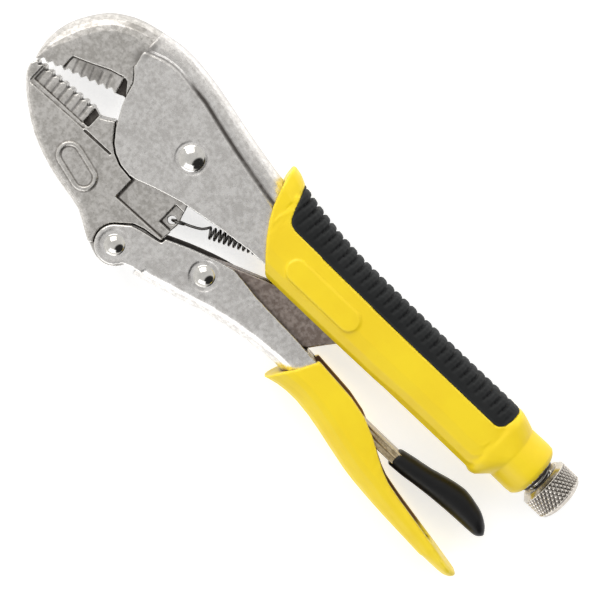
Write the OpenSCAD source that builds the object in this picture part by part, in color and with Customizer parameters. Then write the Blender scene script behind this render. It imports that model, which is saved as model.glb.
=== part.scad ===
// Locking pliers with curved jaws, closed and locked, lying on one side.
// All outlines are drawn from the main pivot: X runs towards the adjusting knob, Y towards the back
// of the upper handle, and Z is the thickness. place() then moves the tool so that the origin is at
// the bottom centre of its bounding box.

/* [Frame channel] */
// Outer half width of the folded channel of the upper handle
channel_half = 8; // [8:0.1:8.4]
// Sheet thickness of the upper channel
channel_sheet = 2.5; // [2:0.1:2.5]
// Outer radius of the fold along the back
channel_fold = 6.5; // [5:0.5:7]
// Depth of the coined side faces
coin_depth = 0.3; // [0.2:0.05:0.5]
// Depth of the groove beside the fold
groove_depth = 0.7; // [0.4:0.1:1]

/* [Jaws] */
// Half width of the forged jaws
jaw_half = 7.4; // [6.8:0.1:7.6]
// Half width of the moving jaw inside the upper channel
arm_half = 5.2; // [4.6:0.1:5.2]
// Half width of the moving jaw inside the lower handle
eye_half = 5.9; // [5.4:0.1:5.9]
// Distance from one tooth to the next
tooth_pitch = 3.2; // [2.6:0.1:3.6]
// Depth of a tooth
tooth_depth = 1.3; // [0.8:0.1:1.6]
// How far the toothed strips lie below the sides of the jaws
strip_depth = 0.9; // [0.5:0.1:1.2]
// How deep the reliefs beside the teeth reach in from each side
relief_depth = 3.6; // [2:0.2:5]

/* [Lower handle] */
// Outer half width of the lower channel
handle_half = 8.5; // [8.5:0.1:8.8]
// Sheet thickness of the lower channel
handle_sheet = 2.2; // [1.8:0.1:2.2]
// Outer radius of the fold along the bottom
handle_fold = 5.5; // [4:0.5:6]
// Radius of the lobes at the jaw rivet
lobe_r = 7.2; // [6.6:0.1:7.2]

/* [Link and release lever] */
// Half width of the toggle link
link_half = 4.2; // [3:0.1:4.4]
// Outer half width of the release lever
lever_half = 4.6; // [4:0.1:4.8]
// Sheet thickness of the release lever
lever_sheet = 1.4; // [1:0.1:1.6]
// Half width of the sleeve on the release lever
sleeve_half = 5.2; // [4.9:0.1:5.2]

/* [Rivets] */
// Shank radius of the main pivot rivet
main_rivet_r = 4; // [3.6:0.1:4.2]
// Shank radius of the jaw rivet and the link rivet
small_rivet_r = 3.2; // [2.8:0.1:3.3]
// Shank radius of the release lever rivet
lever_rivet_r = 1.6; // [1.4:0.1:1.8]
// Radius of the spring anchor pin
anchor_r = 1.5; // [1.3:0.1:1.5]
// Radial clearance of a running fit
running_gap = 0.05; // [0.03:0.01:0.08]

/* [Spring] */
// Radius of the spring wire
wire_r = 0.45; // [0.35:0.05:0.45]
// Radius of the coil at the middle of the wire
coil_r = 1.95; // [1.8:0.05:2]
// Number of turns
coil_turns = 15; // [10:1:18]

/* [Adjusting screw] */
// Radius of the screw
screw_r = 5; // [4.5:0.1:5.2]
// Radius of the knob
knob_r = 10; // [8.5:0.1:10.5]
// Length of the knob
knob_length = 11.5; // [9:0.5:13]
// Outer radius of the round tail of the upper channel
tail_r = 8.8; // [8.6:0.1:8.8]

/* [Grips] */
// Half width of the upper grip
grip_half = 11.1; // [10.8:0.1:11.2]
// How far the side pads stand out from the upper grip
pad_rise = 0.4; // [0.3:0.1:0.6]
// Half width of the lower grip
lower_grip_half = 10.6; // [10.4:0.1:10.9]
// Thickness of the soft insert in the back of the upper grip
insert_sheet = 1.8; // [1.4:0.1:2]
// Half width of the slot under the upper grip that the link passes through
slot_half = 5.8; // [5.2:0.1:6]

/* [Hidden] */

nickel = [0.74, 0.73, 0.71];
dark_steel = [0.52, 0.48, 0.46];
rivet_steel = [0.86, 0.85, 0.83];
yellow = [0.97, 0.85, 0.13];
charcoal = [0.17, 0.18, 0.18];
black = [0.05, 0.05, 0.05];

fit_gap = 0.05;
// How far solids that are joined run into each other
overlap = 0.05;
far = 40;
$fn = 48;

// Pivots of the linkage
jaw_pin = [1.2, -41];
link_pin = [31.8, -27.2];
link_end = [96, 2];
lever_pin = [95, -29.4];
anchor = [55, -1];
hook_hole = [10.3, -21.3];
screw_y = 2.1;

// Lengths along the handle
front_x = -65.2;
knob_end_x = 182.5;
screw_tip_x = 105.4;
tail_x = 144;
tail_bore_r = tail_r - 1.4;
tail_end_x = 168.4;
bush_end_x = 169.6;
channel_end_x = 147;
handle_front_x = 13;
handle_end_x = 158;
shoulder_x = -36.9;

// Highest and lowest point of the tool
top_y = 26.1;
low_y = -49;
pad_half = grip_half + pad_rise;

channel_inner = channel_half - channel_sheet;
handle_inner = handle_half - handle_sheet;

module place() {
    translate([-(front_x + knob_end_x) / 2, -(top_y + low_y) / 2, pad_half])
        children();
}

// ---- Curves and lofts ----

function last(p) = p[len(p) - 1];
function reversed(p) = [for (i = [len(p) - 1:-1:0]) p[i]];

// A smooth curve through a few points, with n steps in each span
function spline_point(a, b, c, d, t) =
    0.5 * (2 * b + (c - a) * t + (2 * a - 5 * b + 4 * c - d) * t * t + (3 * b - a - 3 * c + d) * t * t * t);
function smooth(p, n = 3) = concat(
    [for (i = [0:len(p) - 2]) for (k = [0:n - 1])
        spline_point(p[max(i - 1, 0)], p[i], p[i + 1], p[min(i + 2, len(p) - 1)], k / n)],
    [last(p)]
);

// Height of a smooth curve at x
function height_at(x, p) = lookup(x, smooth(p, 6));

// The same edge radius for every point of an outline
function with_r(p, r) = [for (v = p) [v[0], v[1], r]];

// The same, but growing from edge_r over the first points and falling back to it over the last ones
edge_r = 0.3;
function with_tapered_r(p, r, first, final) = [for (i = [0:len(p) - 1])
    let (t = min(1, first > 0 ? i / first : 1, final > 0 ? (len(p) - 1 - i) / final : 1))
    [p[i][0], p[i][1], edge_r + (r - edge_r) * sin(90 * t)]];
function xy(p) = [for (v = p) [v[0], v[1]]];

function arc(c, r, from, to, n) = [for (k = [0:n]) let (a = from + (to - from) * k / n) c + r * [cos(a), sin(a)]];

// The solid between rings of points; each ring has the same number of points and runs anticlockwise
// when seen from the last ring's side, unless flip is true
// With shell set, a ring is an outer line and the matching inner line reversed, and the ends are strips
module loft(rings, flip = false, shell = false) {
    n = len(rings[0]);
    m = len(rings);
    sides = [for (k = [0:m - 2]) for (i = [0:n - 1]) for (t = [0, 1])
        let (j = (i + 1) % n, a = k * n, b = (k + 1) * n)
        t == 0 ? [a + i, b + j, a + j] : [a + i, b + i, b + j]];
    strip = [for (i = [0:n / 2 - 2]) [i, i + 1, n - 2 - i, n - 1 - i]];
    caps = shell
        ? concat(strip, [for (f = strip) [for (i = reversed(f)) (m - 1) * n + i]])
        : [[for (i = [0:n - 1]) i], [for (i = [n - 1:-1:0]) (m - 1) * n + i]];
    faces = concat(sides, caps);
    polyhedron(
        points = [for (ring = rings) each ring],
        faces = flip ? [for (f = faces) reversed(f)] : faces,
        convexity = 8
    );
}

// A ring of [z, y] points standing at x
function ring_at(x, p) = [for (v = p) [x, v[1], v[0]]];

// Inward direction at a corner of an anticlockwise outline
function left_of(p, q) = let (d = q - p) [-d[1], d[0]] / norm(d);
function inward(p, i) =
    let (n = len(p), a = left_of(p[(i + n - 1) % n], p[i]), b = left_of(p[i], p[(i + 1) % n]))
    (a + b) / max(0.5, 1 + a * b);

// An anticlockwise outline of [x, y, edge radius] points as a slab with rounded edges
module rounded_slab(p, half, steps = 4) {
    flat = xy(p);
    dirs = [for (i = [0:len(p) - 1]) inward(flat, i)];
    quarter = [for (k = [0:steps]) 90 * k / steps];
    loft(concat(
        [for (a = reversed(quarter)) [for (i = [0:len(p) - 1])
            let (r = p[i][2], v = flat[i] + dirs[i] * r * (1 - cos(a))) [v[0], v[1], -(half - r + r * sin(a))]]],
        [for (a = quarter) [for (i = [0:len(p) - 1])
            let (r = p[i][2], v = flat[i] + dirs[i] * r * (1 - cos(a))) [v[0], v[1], half - r + r * sin(a)]]]
    ));
}

// How far an edge of radius r lies inside the outline at a depth below the flat side
function edge_inset(r, depth) = depth >= r ? 0 : r - sqrt(r * r - (r - depth) * (r - depth));

// The same slab as nested plates, for a piece with many cuts in its flat sides
module stepped_slab(p, half, steps = 5) {
    flat = xy(p);
    dirs = [for (i = [0:len(p) - 1]) inward(flat, i)];
    widest = max([for (v = p) v[2]]);
    for (k = [0:steps]) {
        depth = widest * (1 - sin(90 * k / steps));
        plate([for (i = [0:len(p) - 1]) flat[i] + dirs[i] * edge_inset(p[i][2], depth)], half - depth);
    }
}

// An outline through the whole thickness, from -half to half
module plate(p, half) {
    translate([0, 0, -half])
        linear_extrude(2 * half)
            polygon(p);
}

// An outline on both sides of the tool, from inner to outer
module both_sides(inner, outer) {
    for (s = [0, 1])
        mirror([0, 0, s])
            translate([0, 0, inner])
                linear_extrude(outer - inner)
                    children();
}

module pin(at, r, half) {
    translate([at[0], at[1], -half])
        cylinder(r = r, h = 2 * half);
}

// A rivet with a low domed head on each side
module rivet(at, r, head_r, head_h, half) {
    dome_r = (head_r * head_r + head_h * head_h) / (2 * head_h);
    dome_a = asin(head_r / dome_r);
    dome = [for (k = [0:6]) let (a = dome_a * (1 - k / 6)) [dome_r * sin(a), half + head_h - dome_r * (1 - cos(a))]];
    translate([at[0], at[1], 0])
        rotate_extrude()
            polygon(concat(
                [[0, -half - head_h]],
                [for (i = [5:-1:0]) [dome[i][0], -dome[i][1]]],
                [[r, -half], [r, half]],
                dome
            ));
}

// ---- Outlines ----

// Back of the fixed jaw and of the upper channel, from the tip to the tail
jaw_back = [
    [-63.9, -12.2], [-65.2, -6], [-64.9, 0], [-63.5, 5], [-61.3, 9.4], [-58.7, 13.3], [-55.3, 17.2],
    [-50.1, 20.7], [-45.1, 22.9], [-40, 24.2], [-35, 25.2], [-30, 26]
];
channel_back = [
    [-37, 24.8], [-30, 26], [-26, 26.1], [-20, 25.8], [-10, 24.3], [0, 22.1], [10, 19.8], [20, 17.8],
    [28, 16.4], [45, 14.4], [70, 12.6], [100, 12], [150, 11]
];
// Lower edge of the side faces of the upper channel
channel_edge = [
    [-37, 9.4], [-35, 7.6], [-33, 5], [-31.8, 0.3], [-30.6, -3.1], [-28.9, -6.5], [-26.6, -10.7],
    [-23.3, -15], [-20.4, -17.2], [-16.5, -18.9], [-11.9, -19.5], [-9, -19], [-4, -17.2], [2, -15.4],
    [8, -13.8], [14, -12.8], [25, -11.1], [37, -9.7], [46, -9.5], [150, -9.5]
];
// Inner border of the fold, where the side face begins
fold_border = [
    [-38, 16.6], [-31, 19.2], [-25, 20], [-20, 19.4], [-10, 17.9], [0, 15.3], [10, 12.9], [27, 9.4], [45, 6.5]
];

// Toothed edges of the two jaws
upper_teeth_from = [-62.6, -11.8];
upper_teeth_to = [-34.6, -1.9];
lower_teeth_from = [-62.8, -12.3];
lower_teeth_to = [-36.9, -10.7];

// Bottom of the moving jaw, from the tip to the jaw rivet
jaw_belly = [
    [-63.9, -14.8], [-62.6, -18.3], [-60, -21.3], [-57, -24.4], [-53.5, -27], [-50, -29.6], [-45.7, -32.2],
    [-40.1, -34.8], [-35.3, -36.5], [-31, -37.8], [-26.7, -38.7], [-20.2, -40], [-16.7, -40.9],
    [-13.7, -42.6], [-9.3, -45.2], [-6.3, -46.9]
];

// Upper edge and bottom of the lower channel
handle_rim = [
    [12.3, -27.5], [20, -24.2], [25, -22.3], [30, -20.6], [34.4, -19.3], [38, -18.5], [42, -18.8],
    [50, -20], [60, -20.6], [70, -21.1], [81, -22.2], [90, -23.1], [100, -24.1], [108, -25.9], [115, -29],
    [123, -33.6], [129, -36.6], [134, -38.1], [142, -39.6], [150, -41], [160, -42.2]
];
handle_bottom = [
    [12, -44.9], [20, -43], [25, -41.5], [30, -40.2], [40, -37.4], [50, -35.2], [60, -33.9], [72, -33],
    [82, -33.4], [90, -34.4], [100, -36.6], [110, -39], [120, -41.2], [130, -42.6], [140, -43.3], [160, -44.4]
];

// ---- Upper handle ----

function channel_ring(x) = let (
    yt = height_at(x, channel_back),
    yb = height_at(x, channel_edge),
    flat_half = channel_half - channel_fold,
    yf = max(yt - channel_fold, yb + 0.5),
    outer = [for (k = [0:5]) let (a = 90 * k / 5)
        [flat_half + channel_fold * cos(a), yt - channel_fold + channel_fold * sin(a)]],
    fold_in = channel_fold - channel_sheet,
    inner = [for (k = [0:5]) let (a = 90 * k / 5)
        [flat_half + fold_in * cos(a), yt - channel_fold + fold_in * sin(a)]],
    half_ring = concat([[channel_half, yb]], outer),
    half_inner = concat([[channel_inner, yb]], inner)
) concat(
    half_ring,
    [for (v = reversed(half_ring)) [-v[0], v[1]]],
    [for (v = half_inner) [-v[0], v[1]]],
    reversed(half_inner)
);

channel_stations = concat(
    [shoulder_x], [for (v = [1:18]) channel_edge[v][0]], [60, 80, 110, 130, channel_end_x]
);

module frame_channel() place() color(nickel) {
    difference() {
        union() {
            loft([for (x = channel_stations) ring_at(x, channel_ring(x))], flip = true, shell = true);
            translate([tail_x, screw_y, 0])
                rotate([0, 90, 0])
                    cylinder(r = tail_r, h = tail_end_x - tail_x);
        }
        translate([tail_x - 1, screw_y, 0])
            rotate([0, 90, 0])
                cylinder(r = tail_bore_r, h = tail_end_x - tail_x + 2);
        pin([0, 0], main_rivet_r, far);
        pin(anchor, anchor_r, far);
        // Coined side faces and the groove beside the fold
        both_sides(channel_half - coin_depth, channel_half + 1)
            polygon(concat(smooth(fold_border, 2), [[45, -30], [-38, -30]]));
        both_sides(channel_half - groove_depth, channel_half + 1)
            polygon(concat(smooth(fold_border, 2), [for (v = reversed(smooth(fold_border, 2))) v - [0, 1.6]]));
    }
}

// The toothed edge as a saw line from one point to another; the teeth stand on the left
function saw_line(from, to, depth) = let (
    run = norm(to - from),
    count = floor(run / tooth_pitch),
    along = (to - from) / run,
    up = [-along[1], along[0]]
) [for (i = [0:count - 1]) each [
    from + along * i * tooth_pitch,
    from + along * (i + 0.5) * tooth_pitch + up * depth
], from + along * count * tooth_pitch];

module fixed_jaw() place() color(nickel) {
    // Where the jaw is wider than the channel's inside: in front of the channel
    front_zone = concat(
        [[-80, 40], [-80, -20], [-50, -20], upper_teeth_to + [2.6, -0.4]],
        [for (i = [3:-1:1]) channel_edge[i] + [-0.15, -0.2]],
        [[shoulder_x, 9.3], [shoulder_x, 40]]
    );
    outline = concat(
        with_tapered_r(reversed(smooth(jaw_back, 3)), channel_fold - 0.4, 0, 9),
        [[-62.6, -12, edge_r], [-33.2, -1.5, edge_r], [-28, 2, edge_r]]
    );
    difference() {
        union() {
            intersection() {
                rounded_slab(outline, jaw_half);
                plate(front_zone, far);
            }
            // Tongue that is welded between the side faces of the channel
            plate([
                [-38, 18], [-38, 2], [-34, -1.2], [-31.5, -1], [-22, -1.6], [-15, 3], [-12, 9], [-9, 14],
                [-9, 17.2], [-24, 19.2], [-34, 18.6]
            ], channel_inner);
        }
        // Teeth
        plate(concat(saw_line(upper_teeth_from, upper_teeth_to, tooth_depth), [[-33, -30], [-63.5, -30]]), far);
        // Toothed strip below the side faces, and the relief behind it
        both_sides(jaw_half - strip_depth, far)
            polygon([[-54.6, -20], [-32, -20], [-35.6, 3.4], [-37, 4.3], [-42, 2.9], [-50, -0.8], [-54.6, -2.6]]);
        both_sides(jaw_half - relief_depth, far)
            polygon([[-33, -3], [-31.4, -0.6], [-34.9, 4], [-36.6, 4.4], [-34.6, -3]]);
    }
}

// ---- Moving jaw ----

// Straight-sided outline with round ends, lying along X
function stadium(half_length, r) = concat(
    arc([r - half_length, 0], r, 90, 270, 12),
    arc([half_length - r, 0], r, -90, 90, 12)
);

// Raised rim of the blank badge field, on both sides
badge_at = [-27.4, -30];
badge_half_length = 9.4;
badge_r = 4.7;
badge_rim_width = 1.4;
badge_rise = 0.5;

module badge_rim() {
    both_sides(jaw_half - badge_rise, jaw_half + badge_rise)
        translate(badge_at)
            rotate([0, 0, -15])
                difference() {
                    polygon(stadium(badge_half_length, badge_r));
                    polygon(stadium(badge_half_length - badge_rim_width, badge_r - badge_rim_width));
                }
}

// Step below the toothed strip, and groove at the foot of the cutter
step_depth = 0.4;
cutter_groove_depth = 0.5;
// Ear of the moving jaw and the hole in it for the hook of the spring
ear_half = 1.4;
hook_hole_r = 1.6;

module moving_jaw() place() color(nickel) {
    wide = concat(
        with_tapered_r(smooth(jaw_belly, 2), 2.4, 5, 3),
        with_r(arc(jaw_pin, lobe_r + 0.5, 218, 125, 7), edge_r),
        with_r([
            [1, -31.1], [5, -29.8], [12, -28.9], [12.2, -27.9], [-10, -28.4], [-10, -20.2], [-12.1, -20],
            [-16.7, -19.4], [-20.8, -17.6], [-23.7, -15.3], [-27, -11], [-28.4, -9.2], [-31, -10.9],
            [-33.2, -12], [-36.9, -10.7], [-62.8, -12.3]
        ], edge_r)
    );
    difference() {
        union() {
            stepped_slab(wide, jaw_half);
            // Arm between the side faces of the upper channel
            plate(concat(
                [[-28.6, -9.6], [-31, -14], [-20, -24], [-9, -30], [0, -34], [12.2, -28.2], [13, -21], [10.5, -13]],
                arc([0, 0], 10.5, -40, 205, 20),
                [[-17, -6.5]]
            ), arm_half);
            // Eye between the lobes of the lower handle
            plate(concat(
                [[-9, -30], [-12, -41], [-8.6, -44.9], [-5.9, -46.7], [-3.4, -47.9]],
                arc(jaw_pin, 8, 248, 360, 10),
                [[9.2, -36], [12, -29.2], [12, -28.6]]
            ), eye_half);
            badge_rim();
        }
        pin([0, 0], main_rivet_r + running_gap, far);
        pin(jaw_pin, small_rivet_r + running_gap, far);
        pin(hook_hole, hook_hole_r, far);
        lower_teeth();
        // Toothed strip, the step below it, and the relief behind it
        both_sides(jaw_half - strip_depth, far)
            polygon([[-59, 0], [-36, 0], [-36, -17.6], [-59, -18]]);
        both_sides(jaw_half - step_depth, far)
            polygon([[-60, 0], [-36, 0], [-34.4, -18.9], [-60, -19.8]]);
        both_sides(jaw_half - relief_depth, far)
            polygon([[-36.9, 0], [-33.8, 0], [-33.8, -17.2], [-36.4, -17.2]]);
        both_sides(jaw_half - cutter_groove_depth, far)
            polygon([[-34, -18.4], [-21.5, -18.3], [-21.5, -19.1], [-34, -19.4]]);
        both_sides(ear_half, far)
            polygon([[7.3, -24.4], [14, -24.4], [14, -16], [7.3, -16]]);
    }
}

// Notches between the teeth of the moving jaw
module lower_teeth() {
    along = lower_teeth_to - lower_teeth_from;
    count = floor(norm(along) / tooth_pitch);
    step = along / norm(along) * tooth_pitch;
    for (i = [0:count - 1])
        plate([
            lower_teeth_from + step * (i + 0.1) + [0, 0.6],
            lower_teeth_from + step * (i + 0.5) - [0, tooth_depth],
            lower_teeth_from + step * (i + 0.9) + [0, 0.6]
        ], far);
}

// ---- Lower handle ----

// Half of the lower channel's section at x, grown outwards by gap: from the rim to the fold
function handle_side(x, gap) = let (
    yr = height_at(x, handle_rim),
    yb = height_at(x, handle_bottom),
    fold = min(handle_fold, yr - yb - 0.4)
) concat(
    [[handle_half + gap, yr]],
    [for (k = [0:5]) let (a = 90 * k / 5)
        [handle_half - fold + (fold + gap) * cos(a), yb + fold - (fold + gap) * sin(a)]]
);

function handle_inside(x) = let (
    yr = height_at(x, handle_rim),
    yb = height_at(x, handle_bottom),
    fold = max(min(handle_fold, yr - yb - 0.4) - handle_sheet, 0.1),
    floor_y = min(yb + handle_sheet, yr - 0.3)
) concat(
    [[handle_inner, yr]],
    [for (k = [0:5]) let (a = 90 * k / 5)
        [handle_inner - fold + fold * cos(a), min(floor_y + fold - fold * sin(a), yr - 0.2)]]
);

function mirrored(p) = [for (v = p) [-v[0], v[1]]];

handle_stations = concat(
    [handle_front_x, 17, 21, 25.5, 30, 34.4, 38, 42, 50, 60, 71, 82, 90, 100, 108, 115, 123, 130],
    [138, 148, handle_end_x]
);

// Coined ring around each rivet of the lower handle
ring_r = 5.6;
ring_depth = 0.25;

module lower_handle() place() color(nickel) {
    difference() {
        union() {
            loft([for (x = handle_stations) ring_at(x, concat(
                handle_side(x, 0),
                reversed(mirrored(handle_side(x, 0))),
                mirrored(handle_inside(x)),
                reversed(handle_inside(x))
            ))], shell = true);
            // Lobes beside the jaw
            both_sides(handle_inner + overlap, handle_half - overlap)
                polygon(concat(
                    arc(jaw_pin, lobe_r, 130, 308, 16),
                    [[7.6, -44], [11, -42.6], [15, -42], [15, -27.6], [12.2, -29.3], [5, -30.8], [1, -31.9]]
                ));
        }
        pin(jaw_pin, small_rivet_r, far);
        pin(link_pin, small_rivet_r, far);
        pin(lever_pin, lever_rivet_r, far);
        both_sides(handle_half - ring_depth, far)
            for (at = [jaw_pin, link_pin])
                translate(at)
                    circle(r = ring_r);
    }
}

module toggle_link() place() color(dark_steel) {
    difference() {
        union() {
            plate(concat(
                [[29.5, -21.8], [27, -24.6]],
                arc(link_pin, 5.5, 170, 290, 10),
                [
                    [45, -28.4], [60, -25.6], [70, -24.2], [74, -23.2], [77, -20.5], [79.6, -17], [82, -14],
                    [90, -4.4], [97, -1.9]
                ],
                arc(link_end, 4, -75, 120, 12),
                [[88, 3.6], [70, -4.6], [50.5, -13.1], [38, -18]]
            ), link_half);
        }
        pin(link_pin, small_rivet_r + running_gap, far);
    }
}

// ---- Release lever ----

module release_lever() place() color([0.72, 0.64, 0.48]) {
    side = concat(
        [[78, -21.6], [77.4, -22.6], [80, -25.4], [86, -30.6]],
        arc(lever_pin, 2.9, 200, 285, 6),
        [[104, -31.6], [113, -30.4], [128, -30.4], [146, -28], [164, -27.4], [164, -24.8], [150, -23.8]],
        [[128, -25.8], [113, -25.7], [100, -25.5], [86, -24.4], [80.4, -22]]
    );
    web = concat(
        [[86, -24.4], [86, -25.9], [100, -27], [113, -27.2], [128, -27.3], [150, -25.3], [164, -26.3]],
        [[164, -24.8], [150, -23.8], [128, -25.8], [113, -25.7], [100, -25.5]]
    );
    difference() {
        union() {
            both_sides(lever_half - lever_sheet, lever_half)
                polygon(side);
            plate(web, lever_half - lever_sheet);
            // Nose that pushes on the link
            plate(
                [[78, -21.6], [77.4, -22.6], [80, -25.4], [82.4, -25], [82.4, -22.8], [80.4, -22]],
                lever_half - lever_sheet
            );
        }
        pin(lever_pin, lever_rivet_r + running_gap, far);
    }
}

sleeve_top = [
    [127, -24.7], [132.5, -23.6], [140, -22.3], [145.5, -20.9], [150, -19.9], [154.7, -19.4], [160, -20.2],
    [164.7, -22], [168.5, -24.8], [170.6, -26.6]
];
sleeve_bottom = [
    [127, -31.8], [134, -31.4], [140, -30.7], [150, -29.9], [160, -29.5], [164.7, -29.2], [168.5, -28.4],
    [170.6, -27.4]
];

// Rounded rectangle-like ring: n is 2 for an ellipse and higher for a squarer shape
function super_ring(half_w, low, high, n, count) = let (mid = (low + high) / 2, half_h = (high - low) / 2)
    [for (k = [0:count - 1]) let (a = 360 * (k + 0.5) / count, c = cos(a), s = sin(a))
        [half_w * sign(c) * pow(abs(c), 2 / n), mid + half_h * sign(s) * pow(abs(s), 2 / n)]];

module release_lever_sleeve() place() color(black) {
    difference() {
        loft([for (x = [127, 131, 136, 141, 146, 150, 155, 160, 164, 167, 169.2, 170.6])
            let (taper = x < 164 ? 1 : sqrt(max(0.04, 1 - pow((x - 164) / 7, 2))))
            ring_at(x, super_ring(sleeve_half * taper, height_at(x, sleeve_bottom), height_at(x, sleeve_top), 2.6, 20))
        ], flip = true);
        // Room for the lever
        plate([
            [120, -30.5], [128, -30.5], [146, -28.1], [164.1, -27.5], [164.1, -24.7], [150, -23.7], [128, -25.7],
            [120, -25.6]
        ], lever_half + fit_gap);
    }
}

// ---- Spring ----

spring_dir = (anchor - hook_hole) / norm(anchor - hook_hole);
spring_side = [-spring_dir[1], spring_dir[0]];
spring_length = norm(anchor - hook_hole);
coil_from = 13.8;
coil_to = 41;
wire_sides = 6;
turn_steps = 10;

// A point of the spring: s along its axis from the hook hole, u across it in the plane, w in Z
function spring_at(s, u, w) = let (v = hook_hole + spring_dir * s + spring_side * u) [v[0], v[1], w];

spring_path = concat(
    // Front hook through the ear
    [for (a = [-150:30:90]) spring_at(2.4 + 2.4 * cos(a + 180), 0, 2.4 * sin(a + 180))],
    [spring_at(4.2, 0, -1.4), spring_at(7, 0, -0.4), spring_at(11, 0.4, 0)],
    [for (k = [0:coil_turns * turn_steps]) let (a = 360 * k / turn_steps)
        spring_at(
            coil_from + (coil_to - coil_from) * k / (coil_turns * turn_steps), coil_r * cos(a), coil_r * sin(a)
        )],
    // Rear hook around the anchor pin
    [spring_at(43, 1.9, 0)],
    [for (a = [150:-30:-130]) spring_at(spring_length + 2.1 * cos(a), 2.1 * sin(a), 0)]
);

function unit(v) = v / norm(v);

module swept_wire(p, r) {
    n = len(p);
    loft([for (i = [0:n - 1]) let (
        t = unit(p[min(i + 1, n - 1)] - p[max(i - 1, 0)]),
        // Across the axis of the spring, so that the frame never flips along the coil
        ref = abs(t[2]) > 0.9 ? [spring_dir[0], spring_dir[1], 0] : [0, 0, 1],
        u = unit(cross(t, ref)),
        v = cross(t, u)
    ) [for (k = [0:wire_sides - 1]) let (a = 360 * k / wire_sides) p[i] + r * (u * cos(a) + v * sin(a))]]);
}

module tension_spring() place() color([0.45, 0.45, 0.46]) {
    swept_wire(spring_path, wire_r);
}

module spring_anchor_pin() place() color(rivet_steel) pin(anchor, anchor_r, channel_half);

// ---- Adjusting screw ----

module along_screw() {
    translate([0, screw_y, 0])
        rotate([0, 90, 0])
            rotate_extrude($fn = 72)
                children();
}

// Wall of the knob behind the end of the screw
knob_end_wall = 3;
// Front end of the bush, inside the tail
bush_start_x = 152;

module adjusting_screw() place() color(rivet_steel) along_screw() {
    polygon([
        [0, screw_tip_x], [screw_r - 1.5, screw_tip_x], [screw_r, screw_tip_x + 1.5],
        [screw_r, knob_end_x - knob_end_wall], [0, knob_end_x - knob_end_wall]
    ]);
}

module knurled_knob() place() color(nickel) along_screw() {
    knob_x = knob_end_x - knob_length;
    polygon([
        [screw_r + running_gap, knob_x + 1.2], [knob_r - 2.9, knob_x + 1.2], [knob_r - 2.4, knob_x],
        [knob_r - 1.6, knob_x], [knob_r - 0.3, knob_x + 1.6], [knob_r, knob_x + 2.4],
        [knob_r, knob_end_x - 2.2], [knob_r - 0.5, knob_end_x - 1], [knob_r - 2.2, knob_end_x],
        [0, knob_end_x], [0, knob_end_x - knob_end_wall + fit_gap],
        [screw_r + running_gap, knob_end_x - knob_end_wall + fit_gap]
    ]);
}

module tail_bush() place() color(dark_steel) along_screw() {
    polygon([
        [screw_r + running_gap, bush_start_x], [tail_bore_r, bush_start_x],
        [tail_bore_r, tail_end_x], [tail_bore_r - 0.5, bush_end_x],
        [screw_r + 0.6, bush_end_x], [screw_r + running_gap, bush_end_x - 0.6]
    ]);
}

// ---- Rivets ----

// Radius and height of the rivet heads
main_head_r = 4.8;
main_head_h = 2;
small_head_r = 4;
small_head_h = 1.8;
// How far the ends of the release lever rivet lie below the sides of the handle
lever_rivet_sink = 0.3;

module main_pivot_rivet() place() color(rivet_steel)
    rivet([0, 0], main_rivet_r, main_head_r, main_head_h, channel_half - coin_depth);
module jaw_pivot_rivet() place() color(rivet_steel)
    rivet(jaw_pin, small_rivet_r, small_head_r, small_head_h, handle_half - ring_depth);
module link_rivet() place() color(rivet_steel)
    rivet(link_pin, small_rivet_r, small_head_r + 0.1, small_head_h, handle_half - ring_depth);
module release_lever_rivet() place() color(rivet_steel)
    pin(lever_pin, lever_rivet_r, handle_half - lever_rivet_sink);

// ---- Upper grip ----

grip_top = [
    [27, 22.4], [31, 22.6], [36, 20.4], [41, 19.4], [44, 18.8], [48, 18.1], [52, 17.5], [56, 16.9], [64, 16.1],
    [80, 15.6], [120, 15.5], [140, 15.6], [147.5, 15.4], [150, 15.2], [153, 14.3], [156, 13.2]
];
grip_bottom = [
    [27, -13.6], [80, -13.6], [100, -13.4], [110, -12.8], [120, -12.6], [140, -12.8], [150, -13.3],
    [151.5, -12.9], [154, -10.6], [156, -9]
];
// Lower edge of the insert in the side view
insert_edge = [
    [35.9, 20.2], [37.4, 16], [38.7, 12], [40, 9.2], [41.4, 7.6], [43.5, 6.9], [60, 6.5], [100, 6], [142, 5.8],
    [144.5, 6.3], [146, 7.8], [146.9, 11], [147.4, 15.2]
];
// Raised pad on each side of the upper grip
pad_at = [66.8, -3.1];
pad_half_length = 16.7;
pad_r = 4.1;
// Squareness of the grip's section: 2 is an ellipse
grip_n = 3.2;
side_steps = 4;
back_steps = 6;

// Point of the grip's outline at angle a, with the outline drawn in by inset
function grip_point(x, a, inset) = let (
    yt = height_at(x, grip_top),
    yb = height_at(x, grip_bottom),
    hw = grip_width(x) - inset,
    hh = (yt - yb) / 2 - inset,
    c = cos(a),
    s = sin(a)
) [hw * sign(c) * pow(abs(c), 2 / grip_n), (yt + yb) / 2 + hh * sign(s) * pow(abs(s), 2 / grip_n)];

function grip_width(x) = x < 34 ? grip_half + 0.3 * (34 - x) / 7
    : grip_half;

// Angle at which the outline reaches the height y, and the half width z near the bottom
function angle_at_y(x, y) = let (
    yt = height_at(x, grip_top),
    yb = height_at(x, grip_bottom),
    t = (y - (yt + yb) / 2) / ((yt - yb) / 2)
) asin(sign(t) * pow(min(abs(t), 0.999), grip_n / 2));
function angle_at_z(x, z) = -acos(pow(z / grip_width(x), grip_n / 2));

function split_angle(x) =
    x < insert_edge[0][0] || x > last(insert_edge)[0] ? 55
    : angle_at_y(x, lookup(x, insert_edge));

function has_insert(x) = x > insert_edge[0][0] && x < last(insert_edge)[0];

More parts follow.
